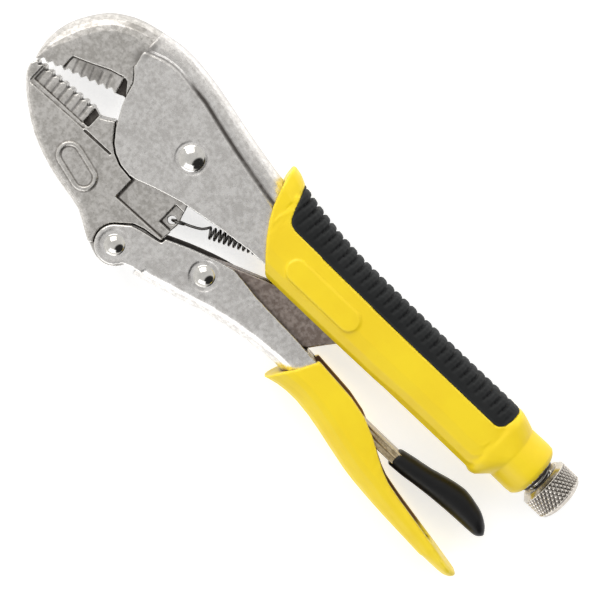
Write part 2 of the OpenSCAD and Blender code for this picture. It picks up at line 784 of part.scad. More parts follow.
function grip_half_ring(x, inset_back) = let (a0 = angle_at_z(x, slot_half), a1 = split_angle(x)) concat(
    [for (k = [0:side_steps]) grip_point(x, a0 + (a1 - a0) * k / side_steps, 0)],
    [for (k = [0:back_steps]) grip_point(x, a1 + (90 - a1) * k / (back_steps + 0.5), inset_back)]
);

cavity_half = channel_half + fit_gap;
function cavity_top(x) = height_at(x, channel_back) + fit_gap;

function upper_grip_ring(x) = let (
    h = grip_half_ring(x, has_insert(x) ? insert_sheet : overlap),
    c = cavity_half,
    fold = channel_fold,
    top = cavity_top(x),
    low = height_at(x, channel_edge) - fit_gap,
    // Corner of the cavity, cut off just outside the fold of the channel
    cut = fold * (1 - tan(22.5)),
    p = [c, top - cut],
    q = [c - cut, top],
    inner = [
        [slot_half, low], [c, low], [c, low + 2], [c, (low + p[1]) / 2], p, (2 * p + q) / 3, (p + 2 * q) / 3, q,
        [3, top], [2, top], [1.2, top], [0.6, top]
    ]
) concat(
    h,
    reversed(mirrored(h)),
    mirrored(inner),
    reversed(inner)
);

grip_stations = [
    27, 29.5, 32.5, 35.85, 35.95, 37.4, 38.7, 40, 41.4, 43.5, 50, 58, 70, 84, 100, 112, 126, 142, 144.5, 146,
    146.9, 147.35, 147.45, 149
];

// The shoulder stands a little proud of the shell that it closes
shoulder_grow = 0.12;

module upper_grip() place() color(yellow) {
    difference() {
        union() {
            loft([for (x = grip_stations) ring_at(x, upper_grip_ring(x))], flip = true, shell = true);
            // Solid shoulder, round collar, and the closed part of the underside
            loft([for (x = [148.2, 148.4, 150, 151.5, 153, 154.5, 156])
                let (t = max(0, (x - 150) / 6), grow = x < 148.3 ? -0.8 : shoulder_grow)
                ring_at(x, super_ring(
                    grip_half + grow, height_at(x, grip_bottom) - grow, height_at(x, grip_top) + grow,
                    grip_n + (2 - grip_n) * t, 32
                ))], flip = true);
            along_screw()
                polygon([
                    [tail_r - 1, 155], [grip_half - 0.4, 155], [grip_half - 0.2, 156.1], [grip_half, 156.8],
                    [grip_half + 0.1, 164], [grip_half - 0.1, 166.4],
                    [grip_half - 1.2, 167.6], [grip_half - 3, 168.8], [tail_r - 1, 169]
                ]);
            translate([104, -12.4, -slot_half - 0.5])
                cube([44.2, 2.7, 2 * slot_half + 1]);
            both_sides(grip_half - 2, pad_half)
                translate(pad_at)
                    polygon(stadium(pad_half_length, pad_r));
        }
        // Slanted front
        plate([
            [20, 40], [28.4, 40], [28.3, 22], [28.9, 18], [30.4, 13], [32.1, 8], [34.8, 2.8], [38.4, -2.3],
            [42.4, -7], [46.9, -11.9], [50, -14], [50, -30], [20, -30]
        ], far);
        translate([tail_x - 0.3, screw_y, 0])
            rotate([0, 90, 0])
                cylinder(r = tail_r, h = 40);
    }
}

function insert_ring(x) = let (
    a1 = split_angle(x),
    outer = [for (k = [0:back_steps]) grip_point(x, a1 + (90 - a1) * k / (back_steps + 0.5), 0)],
    inner = [for (k = [0:back_steps])
        grip_point(x, a1 + (90 - a1) * k / (back_steps + 0.5), insert_sheet - fit_gap)]
) concat(
    outer,
    reversed(mirrored(outer)),
    mirrored(inner),
    reversed(inner)
);

module upper_grip_insert() place() color(charcoal) {
    loft([for (x = concat([36.1], [for (v = grip_stations) if (v > 37 && v < 147) v], [147.3]))
        ring_at(x, insert_ring(x))], flip = true, shell = true);
}

// ---- Lower grip ----

grip_rim = [
    [70, -20], [81, -21], [90, -21.9], [100, -22.8], [108, -24.6], [115, -27.7], [123, -32.3], [129, -35.3],
    [134, -36.8], [142, -38.3], [150, -39.8], [160, -41.6], [168, -43], [173, -43.6]
];
// Where the channel of the lower grip ends and its solid toe starts
toe_x = 158;
grip_belly = [
    [70, -40], [72.4, -39.3], [76.5, -38.2], [80.3, -37.7], [85, -37.5], [90, -38], [96, -39], [105, -41.1],
    [115, -43.5], [125, -45.1], [140, -46.3], [150, -46.8], [160, -47.3], [168, -47.4], [171, -46.6], [172.7, -45]
];

function lower_grip_ring(x) = let (
    yr = height_at(x, grip_rim),
    yb = height_at(x, grip_belly),
    w = lower_grip_half,
    corner = min(8, (yr - yb) * 0.75),
    metal = handle_side(x, fit_gap),
    ym = metal[0][1] + fit_gap,
    lip = min(2.2, max(ym - metal[6][1] - handle_sheet, 0.5) * 0.5),
    outer = concat(
        [[handle_inner - 0.9, ym - lip], [handle_inner - 0.4, yr], [w - 1.2, yr]],
        [for (k = [0:5]) let (a = 90 * k / 5) [w - corner + corner * cos(a), yb + corner - corner * sin(a)]]
    ),
    inner = concat(
        [[handle_inner - fit_gap, ym - lip], [handle_inner - fit_gap, ym], [handle_half + fit_gap, ym]],
        [for (i = [1:6]) metal[i]]
    )
) concat(
    outer,
    reversed(mirrored(outer)),
    mirrored(inner),
    reversed(inner)
);

// Section of the solid toe: square like the grip where it starts, rounder towards its end
function toe_ring(x) = let (
    yr = height_at(x, grip_rim),
    yb = height_at(x, grip_belly),
    round_off = min(1, (x - toe_x) / 8),
    t = max(0, (x - 165) / 7.8),
    w = (lower_grip_half + overlap) * sqrt(1 - 0.9 * t * t),
    power = 0.6 + 0.4 * round_off,
    top_half = w * (0.88 - 0.08 * round_off)
) concat(
    [[-top_half, yr], [top_half, yr]],
    [for (k = [0:8]) let (a = 180 * k / 8, c = cos(a), s = pow(abs(sin(a)), power))
        [w * sign(c) * pow(abs(c), power), (yr - 1) * (1 - s) + yb * s]]
);

module lower_grip() place() color(yellow) {
    difference() {
        union() {
            loft([for (x = [71, 74, 78, 82, 87, 94, 100, 108, 115, 119, 123, 127, 131, 138, 148, toe_x + overlap])
                ring_at(x, lower_grip_ring(x))], shell = true);
            // Solid toe
            loft([for (x = [toe_x, 161, 164, 167, 169.5, 171.4, 172.6])
                ring_at(x, toe_ring(x))]);
        }
        // Slanted front
        plate([[60, -10], [81.5, -10], [82.4, -21.4], [78.8, -28], [75, -34.1], [71.6, -41], [60, -41]], far);
    }
}

frame_channel();
fixed_jaw();
moving_jaw();
lower_handle();
toggle_link();
release_lever();
release_lever_sleeve();
tension_spring();
spring_anchor_pin();
adjusting_screw();
knurled_knob();
tail_bush();
main_pivot_rivet();
jaw_pivot_rivet();
link_rivet();
release_lever_rivet();
upper_grip();
upper_grip_insert();
lower_grip();
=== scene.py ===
"""Locking pliers on their side: softened forgings and pressings, moulded grips, knurled knob, spring."""

import math

import bmesh
import bpy
import numpy as np
from mathutils import Matrix, Vector, noise


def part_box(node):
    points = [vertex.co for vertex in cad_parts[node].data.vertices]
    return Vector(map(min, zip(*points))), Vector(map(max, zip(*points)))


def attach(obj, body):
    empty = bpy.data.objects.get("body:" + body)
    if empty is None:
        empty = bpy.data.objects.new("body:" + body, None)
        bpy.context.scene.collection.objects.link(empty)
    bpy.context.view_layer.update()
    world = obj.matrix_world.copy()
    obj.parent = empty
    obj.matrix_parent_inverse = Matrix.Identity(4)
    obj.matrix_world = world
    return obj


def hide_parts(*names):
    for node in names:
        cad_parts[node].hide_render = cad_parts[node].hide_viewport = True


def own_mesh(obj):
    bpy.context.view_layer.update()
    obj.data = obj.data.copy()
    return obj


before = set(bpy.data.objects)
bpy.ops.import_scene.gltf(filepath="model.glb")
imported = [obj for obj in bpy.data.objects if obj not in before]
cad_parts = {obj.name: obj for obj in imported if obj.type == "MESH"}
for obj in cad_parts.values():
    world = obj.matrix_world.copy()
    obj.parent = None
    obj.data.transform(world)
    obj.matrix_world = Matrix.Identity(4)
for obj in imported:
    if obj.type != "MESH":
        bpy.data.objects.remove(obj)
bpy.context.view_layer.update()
scene = bpy.context.scene
MM = 0.001
TURN = 2 * math.pi


def middle(node):
    low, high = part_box(node)
    return (low + high) / 2


# The tool's own axes: the origin is the main pivot, X runs to the knob, Y to the back, Z is the thickness
PIVOT = middle("main_pivot_rivet")


def spot(x, y, z=0.0):
    """A point given in millimetres from the main pivot, in the row frame."""
    return PIVOT + Vector((x, y, z)) * MM


def in_tool(point):
    return (point - PIVOT) / MM


def ends_of(node):
    """Where a node starts and ends along the tool, in millimetres."""
    low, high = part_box(node)
    return in_tool(low).x, in_tool(high).x


def half_thickness(node):
    low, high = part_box(node)
    return (high.z - low.z) / 2 / MM


def angles(count):
    return [TURN * k / count for k in range(count)]


# The spring runs from a hole in the jaw's ear to the anchor pin, and the jaw opens about the main pivot
ANCHOR = in_tool(middle("spring_anchor_pin"))
HOOK_HOLE = Vector((10.3, -21.3, 0))
SCREW_Y = in_tool(middle("knurled_knob")).y


# ---- Small tools for numbers on many points at once ----

def ramp(value, start, end):
    """0 before start, 1 after end, and smooth between them; start may be the larger one."""
    t = np.clip((value - start) / (end - start), 0, 1)
    return t * t * (3 - 2 * t)


def bump(value, centre, half_width):
    """A smooth hill, 1 at the centre and 0 beyond half_width."""
    t = np.clip(1 - np.abs(value - centre) / half_width, 0, 1)
    return t * t * (3 - 2 * t)


def grain(points, size, seed):
    """Smooth noise from -1 to 1 with features of that size in millimetres."""
    shift = Vector((seed * 7.3, seed * 3.1, seed * 1.7))
    return np.array([noise.noise(Vector(p) / size + shift) for p in points])


# ---- Materials ----

class Look:
    """A node tree around one Principled shader, fed by object coordinates in millimetres."""

    def __init__(self, name, roughness, metallic=0.0, specular=0.5):
        self.material = bpy.data.materials.new(name)
        self.material.use_nodes = True
        self.nodes = self.material.node_tree.nodes
        self.links = self.material.node_tree.links
        self.shader = self.nodes["Principled BSDF"]
        self.shader.inputs["Metallic"].default_value = metallic
        self.shader.inputs["Roughness"].default_value = roughness
        self.shader.inputs["Specular IOR Level"].default_value = specular
        place = self.nodes.new("ShaderNodeTexCoord")
        scale = self.nodes.new("ShaderNodeMapping")
        scale.inputs["Scale"].default_value = (1 / MM,) * 3
        self.links.new(place.outputs["Object"], scale.inputs["Vector"])
        self.place = scale.outputs["Vector"]

    def stretched(self, stretch):
        node = self.nodes.new("ShaderNodeMapping")
        node.inputs["Scale"].default_value = stretch
        self.links.new(self.place, node.inputs["Vector"])
        return node.outputs["Vector"]

    def noise(self, size, detail=3, roughness=0.55, stretch=None):
        node = self.nodes.new("ShaderNodeTexNoise")
        node.inputs["Scale"].default_value = 1 / size
        node.inputs["Detail"].default_value = detail
        node.inputs["Roughness"].default_value = roughness
        self.links.new(self.stretched(stretch) if stretch else self.place, node.inputs["Vector"])
        return node.outputs["Fac"]

    def cells(self, size):
        node = self.nodes.new("ShaderNodeTexVoronoi")
        node.inputs["Scale"].default_value = 1 / size
        self.links.new(self.place, node.inputs["Vector"])
        return node.outputs["Distance"]

    def band(self, value, low, high, out_low=0.0, out_high=1.0):
        """Takes low..high of a value to out_low..out_high, clamped."""
        node = self.nodes.new("ShaderNodeMapRange")
        labels = ("From Min", "From Max", "To Min", "To Max")
        for label, number in zip(labels, (low, high, out_low, out_high)):
            node.inputs[label].default_value = number
        self.links.new(value, node.inputs["Value"])
        return node.outputs["Result"]

    def math(self, operation, a, b):
        node = self.nodes.new("ShaderNodeMath")
        node.operation = operation
        for socket, value in zip(node.inputs, (a, b)):
            if isinstance(value, (int, float)):
                socket.default_value = value
            else:
                self.links.new(value, socket)
        return node.outputs[0]

    def mark(self, name):
        """A number that the mesh carries at each point."""
        node = self.nodes.new("ShaderNodeAttribute")
        node.attribute_name = name
        return node.outputs["Fac"]

    def mix(self, share, a, b):
        node = self.nodes.new("ShaderNodeMix")
        node.data_type = "RGBA"
        self.links.new(share, node.inputs["Factor"])
        for label, value in (("A", a), ("B", b)):
            socket = [s for s in node.inputs if s.name == label and s.type == "RGBA"][0]
            if isinstance(value, tuple):
                socket.default_value = (*value, 1)
            else:
                self.links.new(value, socket)
        return [s for s in node.outputs if s.type == "RGBA"][0]

    def colour(self, value):
        self.links.new(value, self.shader.inputs["Base Color"])

    def roughness(self, value):
        self.links.new(value, self.shader.inputs["Roughness"])

    def relief(self, *layers):
        """Bump layers, each a height from 0 to 1 and its depth in millimetres."""
        normal = None
        for height, depth in layers:
            node = self.nodes.new("ShaderNodeBump")
            node.inputs["Distance"].default_value = depth * MM
            self.links.new(height, node.inputs["Height"])
            if normal:
                self.links.new(normal, node.inputs["Normal"])
            normal = node.outputs["Normal"]
        self.links.new(normal, self.shader.inputs["Normal"])


# Painted shade for hollows, slots and the insides of channels, also the colour of the weld stains
SHADE_AND_STAIN = (0.055, 0.045, 0.038)


def metal(name, base, shade, shine, roughness, rough_spread, pits, pit_size=0.55):
    """Plated metal: cloudy tone, fine pits, polished ridges with a painted highlight, painted shade on side
    walls and in the corners, and weld stains.
    """
    look = Look(name, roughness, metallic=1.0)
    cloud = look.noise(7, detail=5, roughness=0.7)
    mottle = look.noise(1.7, detail=4, roughness=0.65)
    fine = look.noise(pit_size, detail=3, roughness=0.7)
    speck = look.cells(pit_size * 1.4)
    tone = look.math("ADD", look.math("MULTIPLY", cloud, 0.4), look.math("MULTIPLY", mottle, 0.6))
    colour = look.mix(look.band(tone, 0.43, 0.58), shade, base)
    pitted = look.math("MULTIPLY", look.band(speck, 0.05, 0.30, 1, 0), look.band(mottle, 0.52, 0.42))
    colour = look.mix(look.math("MULTIPLY", pitted, 0.5 * pits), colour, tuple(0.5 * c for c in shade))
    # Painted shade: side walls are darkened toward the shade colour
    colour = look.mix(look.math("MULTIPLY", look.mark("side"), 0.8), colour, tuple(0.72 * c for c in shade))
    # Painted highlight: ridges are lightened toward the shine colour, besides the polish that makes them
    # smoother below
    colour = look.mix(look.band(look.mark("ridge"), 0.2, 1.0, 0, 0.8), colour, shine)
    # Painted shade in the hollows and where dark() asks for it; weld stains take the same colour
    in_hollow = look.band(look.mark("hollow"), 0.12, 0.7)
    painted_shade_and_stain = look.math("MULTIPLY", in_hollow, look.band(cloud, 0.3, 0.5, 0.8, 1))
    colour = look.mix(look.math("MULTIPLY", painted_shade_and_stain, 0.92), colour, SHADE_AND_STAIN)
    look.colour(colour)
    rough = look.band(fine, 0.35, 0.65, roughness - rough_spread, roughness + rough_spread)
    rough = look.math("SUBTRACT", rough, look.math("MULTIPLY", look.mark("ridge"), 0.3 * roughness))
    rough = look.math("ADD", rough, look.math("MULTIPLY", painted_shade_and_stain, 0.25))
    look.roughness(rough)
    scratches = look.noise(0.5, detail=2, stretch=(0.12, 1.0, 1.0))
    look.relief((mottle, 0.04 * pits), (fine, 0.05 * pits), (scratches, 0.004))
    return look.material


def plastic(name, base, shade, worn, deep, roughness, grain_size=0.35, specular=0.5):
    """Moulded plastic: slight tone changes, fine moulding grain, rubbed edges."""
    look = Look(name, roughness, specular=specular)
    cloud = look.noise(22, detail=4)
    fine = look.noise(grain_size, detail=2)
    colour = look.mix(look.band(cloud, 0.38, 0.62), shade, base)
    colour = look.mix(look.math("MULTIPLY", look.mark("ridge"), 0.35), colour, worn)
    # Painted shade: hollows and the shadowed inner faces take the deep colour
    colour = look.mix(look.band(look.mark("hollow"), 0.3, 0.95, 0, 0.95), colour, deep)
    look.colour(colour)
    smear = look.noise(6, detail=5, roughness=0.7)
    look.roughness(look.band(smear, 0.35, 0.65, roughness - 0.06, roughness + 0.09))
    look.relief((fine, 0.02), (look.noise(3.5, detail=2), 0.05))
    return look.material


FORGED = metal("forged_nickel", base=(0.82, 0.79, 0.755), shade=(0.57, 0.545, 0.51),
               shine=(0.90, 0.875, 0.835), roughness=0.34, rough_spread=0.07, pits=1.0)
PLATED = metal("plated_sheet", base=(0.95, 0.925, 0.90), shade=(0.73, 0.705, 0.68),
               shine=(0.90, 0.875, 0.835), roughness=0.31, rough_spread=0.06, pits=0.8)
BARE = metal("bare_link_steel", base=(0.50, 0.42, 0.375), shade=(0.29, 0.23, 0.20),
             shine=(0.70, 0.62, 0.56), roughness=0.40, rough_spread=0.08, pits=0.8, pit_size=0.8)
GOLDEN = metal("golden_lever_steel", base=(0.74, 0.60, 0.38), shade=(0.46, 0.35, 0.20),
               shine=(0.90, 0.80, 0.60), roughness=0.30, rough_spread=0.06, pits=0.5)
RIVET = metal("rivet_steel", base=(0.86, 0.84, 0.80), shade=(0.76, 0.74, 0.70),
              shine=(0.93, 0.92, 0.89), roughness=0.12, rough_spread=0.03, pits=0.12, pit_size=0.3)
KNOB = metal("knob_nickel", base=(0.72, 0.665, 0.60), shade=(0.52, 0.475, 0.42),
             shine=(0.86, 0.82, 0.76), roughness=0.24, rough_spread=0.05, pits=0.3, pit_size=0.3)
SPRING = metal("spring_steel", base=(0.085, 0.08, 0.075), shade=(0.03, 0.028, 0.026),
               shine=(0.26, 0.25, 0.24), roughness=0.34, rough_spread=0.06, pits=0.4, pit_size=0.25)
DARK = metal("blackened_steel", base=(0.12, 0.11, 0.105), shade=(0.05, 0.048, 0.045),
             shine=(0.34, 0.32, 0.30), roughness=0.42, rough_spread=0.08, pits=0.6, pit_size=0.4)
# The deep colours are the painted shade in hollows
YELLOW = plastic("yellow_grip", base=(0.96, 0.715, 0.012), shade=(0.92, 0.66, 0.010),
                 worn=(0.98, 0.79, 0.08), deep=(0.16, 0.045, 0.006), roughness=0.40)
CHARCOAL = plastic("charcoal_insert", base=(0.017, 0.018, 0.0185), shade=(0.012, 0.013, 0.0135),
                   worn=(0.06, 0.062, 0.062), deep=(0.003, 0.003, 0.003), roughness=0.66,
                   grain_size=0.2, specular=0.22)
VINYL = plastic("black_vinyl", base=(0.006, 0.006, 0.0065), shade=(0.004, 0.004, 0.0045),
                worn=(0.02, 0.02, 0.021), deep=(0.002, 0.002, 0.002), roughness=0.42,
                grain_size=0.5, specular=0.35)


# ---- Mesh tools ----

def show(mesh, name, material, body, slot, *nodes, dark=None):
    """A finished piece: its finish, the body it rides on, and the CAD nodes it stands for.
    dark(points, normals) says where painted shade and weld stains sit, besides the painted shade in the
    hollows that the mesh has."""
    piece = bpy.data.objects.new(name, mesh)
    scene.collection.objects.link(piece)
    piece.data.materials.clear()
    piece.data.materials.append(material)
    piece.data.polygons.foreach_set("use_smooth", [True] * len(piece.data.polygons))
    mark_edges(piece.data, dark)
    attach(piece, body)
    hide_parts(*nodes)
    return piece


def evened(node, voxel, passes):
    """A copy of a CAD node's mesh with small even faces that follow the CAD surface, and softened edges."""
    same_place = 0.002 * MM
    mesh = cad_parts[node].data.copy()
    shape = bmesh.new()
    shape.from_mesh(mesh)
    bmesh.ops.remove_doubles(shape, verts=shape.verts, dist=same_place)
    shape.to_mesh(mesh)
    shape.free()
    work = bpy.data.objects.new("work", mesh)
    scene.collection.objects.link(work)
    remesh = work.modifiers.new("even", "REMESH")
    remesh.mode = "VOXEL"
    remesh.voxel_size = voxel * MM
    hug = work.modifiers.new("hug", "SHRINKWRAP")
    hug.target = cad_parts[node]
    hug.wrap_method = "NEAREST_SURFACEPOINT"
    soft = work.modifiers.new("soft", "SMOOTH")
    soft.factor = 0.5
    soft.iterations = passes
    seen = work.evaluated_get(bpy.context.evaluated_depsgraph_get())
    result = bpy.data.meshes.new_from_object(seen)
    bpy.data.objects.remove(work)
    return result


def points_of(mesh):
    """Vertices in millimetres from the main pivot, and their normals."""
    at = np.empty(len(mesh.vertices) * 3)
    mesh.vertices.foreach_get("co", at)
    normal = np.empty(len(mesh.vertices) * 3)
    mesh.vertex_normals.foreach_get("vector", normal)
    return (at.reshape(-1, 3) - np.array(PIVOT)) / MM, normal.reshape(-1, 3)


def put_points(mesh, points):
    mesh.vertices.foreach_set("co", (points * MM + np.array(PIVOT)).ravel())
    mesh.update()


def push(mesh, height):
    """Moves each point along its normal by height(points, normals), in millimetres."""
    points, normals = points_of(mesh)
    put_points(mesh, points + normals * height(points, normals)[:, None])
    return mesh


def edge_ends(mesh):
    """The vertex numbers at both ends of each edge, one edge after the other."""
    ends = np.empty(len(mesh.edges) * 2, int)
    mesh.edges.foreach_get("vertices", ends)
    return ends


def neighbour_sum(values, a, b):
    """For each point, the sum of the values at the other ends of its edges a to b."""
    total = np.zeros_like(values)
    np.add.at(total, a, values[b])
    np.add.at(total, b, values[a])
    return total


def relaxed(mesh, where, passes):
    """Evens out the surface where(points) is above 0. A step out follows each step in, to keep its size."""
    step_in, step_out = 0.5, -0.52
    points, _ = points_of(mesh)
    ends = edge_ends(mesh)
    a, b = ends.reshape(-1, 2).T
    count = np.bincount(ends, minlength=len(points))[:, None]
    share = where(points)[:, None]
    for step in (step_in, step_out) * passes:
        points = points + step * share * (neighbour_sum(points, a, b) / count - points)
    put_points(mesh, points)
    return mesh


def mark_edges(mesh, dark=None):
    """Writes how far each point stands on a ridge, in a hollow or on a side wall, for the materials: metal
    gets a painted highlight on ridges and painted shade on side walls, and all get painted shade in hollows.
    """
    still_flat, full_curve = 0.12, 0.7
    points, normals = points_of(mesh)
    a, b = edge_ends(mesh).reshape(-1, 2).T
    step = points[b] - points[a]
    bend = ((normals[b] - normals[a]) * step).sum(1) / np.maximum((step * step).sum(1), 1e-6)
    total, count = np.zeros(len(points)), np.full(len(points), 1e-9)
    for end in (a, b):
        np.add.at(total, end, bend)
        np.add.at(count, end, 1)
    curve = total / count
    for _ in range(3):
        curve = 0.5 * curve + 0.5 * neighbour_sum(curve, a, b) / count
    ridge, hollow = (np.clip((sign * curve - still_flat) / full_curve, 0, 1) for sign in (1, -1))
    if dark:
        shade_and_stain_mask = dark(points, normals)
        hollow, ridge = np.maximum(hollow, shade_and_stain_mask), ridge * (1 - shade_and_stain_mask)
    # Side walls, where the metals paint shade
    side = ramp(np.abs(normals[:, 2]), 0.4, 0.05)
    for name, value in (("ridge", ridge), ("hollow", hollow), ("side", side)):
        mark = mesh.attributes.new(name, "FLOAT", "POINT")
        mark.data.foreach_set("value", value.astype(np.float32))


def grid_mesh(name, rows):
    """A skin through rings of points, all with the same number of points, closed by a cap at both ends."""
    rings = np.array(rows)
    count, around = rings.shape[:2]
    faces = []
    for i in range(count - 1):
        for j in range(around):
            k = (j + 1) % around
            faces.append((i * around + j, i * around + k, (i + 1) * around + k, (i + 1) * around + j))
    faces.append(tuple(range(around - 1, -1, -1)))
    faces.append(tuple((count - 1) * around + j for j in range(around)))
    mesh = bpy.data.meshes.new(name)
    mesh.from_pydata([tuple(p) for p in (rings.reshape(-1, 3) * MM + np.array(PIVOT))], [], faces)
    shape = bmesh.new()
    shape.from_mesh(mesh)
    bmesh.ops.recalc_face_normals(shape, faces=shape.faces)
    shape.to_mesh(mesh)
    shape.free()
    return mesh


def turned(name, profile, centre, axis, around):
    """A solid turned about an axis through centre; the profile is a list of (height, radius)."""
    turn = Vector(axis).to_track_quat("Z", "Y").to_matrix()
    rows = []
    for height, radius in profile:
        rows.append([
            centre + turn @ Vector((radius * math.cos(t), radius * math.sin(t), height))
            for t in angles(around)
        ])
    return grid_mesh(name, rows)


# ---- Camera, light and floor ----

def set_camera():
    """High above the jaws, a little to the back's side, turned so that the tool lies across the picture."""
    height = 900
    side_face = 8
    aim = Vector((62.2, -10.0, side_face))
    eye = Vector((-35, 70, side_face + height))
    roll = math.radians(43.8)
    ahead = (aim - eye).normalized()
    right = ahead.cross(Vector((-math.sin(roll), math.cos(roll), 0))).normalized()
    up = right.cross(ahead)
    data = bpy.data.cameras.new("camera")
    data.sensor_width = 36
    data.lens = 153.9
    data.clip_start = 0.05
    data.clip_end = 20
    camera = bpy.data.objects.new("camera", data)
    turn = Matrix((right, up, -ahead)).transposed()
    camera.matrix_world = Matrix.Translation(spot(*eye)) @ turn.to_4x4()
    scene.collection.objects.link(camera)
    scene.camera = camera


def soft_light(name, at, size, power, colour=(1, 1, 1), mirrored=True):
    """An area light that faces the middle; mirrored says whether it is seen in reflections."""
    data = bpy.data.lights.new(name, "AREA")
    data.shape = "RECTANGLE"
    data.size, data.size_y = size
    data.energy = power
    data.color = colour
    light = bpy.data.objects.new(name, data)
    light.location = at
    light.visible_glossy = mirrored
    light.rotation_euler = (-Vector(at)).to_track_quat("-Z", "Y").to_euler()
    scene.collection.objects.link(light)


def set_light():
    """A pale room that is brightest near the horizon, with one dark side that the rivets mirror."""
    # The dark side and the cosines of the angle to it at which it begins and is full
    dark_side = Vector((0.82, -0.02, 0.57))
    dark_from, fully_dark_from = 0.76, 0.84
    world = bpy.data.worlds.new("studio")
    scene.world = world
    world.use_nodes = True
    nodes, links = world.node_tree.nodes, world.node_tree.links
    place = nodes.new("ShaderNodeTexCoord")
    split = nodes.new("ShaderNodeSeparateXYZ")
    fade = nodes.new("ShaderNodeValToRGB")
    links.new(place.outputs["Generated"], split.inputs["Vector"])
    links.new(split.outputs["Z"], fade.inputs["Fac"])
    horizon, zenith = fade.color_ramp.elements
    horizon.color = (0.88, 0.875, 0.86, 1)
    horizon.position = 0.35
    zenith.color = (0.74, 0.74, 0.735, 1)
    toward = nodes.new("ShaderNodeVectorMath")
    toward.operation = "DOT_PRODUCT"
    toward.inputs[1].default_value = dark_side.normalized()
    links.new(place.outputs["Generated"], toward.inputs[0])
    patch = nodes.new("ShaderNodeMapRange")
    patch.inputs["From Min"].default_value = dark_from
    patch.inputs["From Max"].default_value = fully_dark_from
    links.new(toward.outputs["Value"], patch.inputs["Value"])
    mix = nodes.new("ShaderNodeMixRGB")
    mix.inputs["Color2"].default_value = (0.03, 0.03, 0.03, 1)
    links.new(patch.outputs["Result"], mix.inputs["Fac"])
    links.new(fade.outputs["Color"], mix.inputs["Color1"])
    links.new(mix.outputs["Color"], nodes["Background"].inputs["Color"])
    nodes["Background"].inputs["Strength"].default_value = 0.80
    # Key and back stay out of reflections, where they would turn flat steel white; the window is seen there
    warm = (1.0, 0.98, 0.95)
    cool = (0.97, 0.98, 1.0)
    soft_light("key", at=(-0.75, 0.45, 0.62), size=(1.0, 0.8), power=5.0, colour=warm, mirrored=False)
    soft_light("window", at=(-0.67, 0.40, 0.56), size=(0.8, 0.65), power=2.6, colour=warm)
    soft_light("back", at=(0.35, 0.85, 0.55), size=(1.2, 0.6), power=1.5, mirrored=False)
    soft_light("fill", at=(0.3, -0.8, 0.5), size=(0.9, 0.6), power=2.0, colour=cool)
    scene.view_settings.view_transform = "Standard"


def set_floor():
    shape = bmesh.new()
    bmesh.ops.create_grid(shape, x_segments=8, y_segments=8, size=3.0)
    mesh = bpy.data.meshes.new("floor")
    shape.to_mesh(mesh)
    shape.free()
    floor = bpy.data.objects.new("floor", mesh)
    look = Look("pale_floor", 0.7)
    look.colour(look.mix(look.noise(180, detail=2), (0.54, 0.54, 0.535), (0.58, 0.58, 0.575)))
    look.shader.inputs["Emission Color"].default_value = (1, 1, 1, 1)
    look.shader.inputs["Emission Strength"].default_value = 0.68
    floor.data.materials.append(look.material)
    scene.collection.objects.link(floor)


# ---- Jaws and channels ----

def ring_dent(points, centre, radius, width, depth):
    """A shallow coined ring around a rivet, on the flat sides only."""
    off = np.hypot(points[:, 0] - centre[0], points[:, 1] - centre[1])
    return -depth * bump(off, radius, width)


# How deep the unevenness of forged and of folded metal is
FORGED_SKIN = 0.06
SHEET_SKIN = 0.035


def cast_skin(points, depth, seed):
    return depth * (0.6 * grain(points, 2.6, seed) + 0.4 * grain(points, 1.1, seed + 1))


def along_line(points, start, end):
    """How far each point lies along a line in the plane, and how far to its left."""
    way = (np.array(end) - start) / math.dist(start, end)
    off = points[:, :2] - start
    return off @ way, off @ np.array((-way[1], way[0]))


# The lines of the teeth, from the tip of each jaw to its throat
UPPER_TEETH = ((-62.6, -11.8), (-34.6, -1.9))
LOWER_TEETH = ((-62.8, -12.3), (-36.9, -10.7))
TOOTH_PITCH = 3.2
MARK_DEPTH = 0.16
JAW_FACE = 7.4


def tooth_marks(points, normals, teeth, low, high, ends):
    """Broach lines that run on from the tooth roots across the sides of a toothed strip.
    The strip reaches from low to high beside the line of the teeth, and lies between ends along the tool."""
    soft, end_soft = 0.4, 0.8
    front, back = ends
    along, left = along_line(points, *teeth)
    shift = 0 if low < 0 else 0.5
    valley = bump((along / TOOTH_PITCH + shift) % 1, 0.5, 0.28)
    zone = ramp(left, low - soft, low + soft) * ramp(left, high + soft, high - soft)
    zone *= ramp(points[:, 0], front, front + end_soft) * ramp(points[:, 0], back, back - end_soft)
    return valley * zone * ramp(np.abs(normals[:, 2]), 0.5, 0.9)


def sunk(points, normals, depth):
    """1 on floors that lie about that far below the side faces of a jaw."""
    below = ramp(np.abs(points[:, 2]), JAW_FACE - 0.8 * depth, JAW_FACE - 1.2 * depth)
    return below * ramp(np.abs(normals[:, 2]), 0.1, 0.5)


# Where the flat side of the upper channel bends into its rolled back
FOLD_LINE = [
    (-38, 16.6), (-31, 19.2), (-25, 20), (-20, 19.4), (-10, 17.9),
    (0, 15.3), (10, 12.9), (27, 9.4), (45, 6.5),
]


def facing_in(points, normals, open_side):
    """1 on the inner faces of a folded channel that is open to that side of the tool."""
    outer, inner = 7.6, 6.9
    across = -normals[:, 2] * np.sign(points[:, 2])
    inward = ramp(np.maximum(across, normals[:, 1] * open_side), 0.25, 0.7)
    return inward * ramp(np.abs(points[:, 2]), outer, inner)


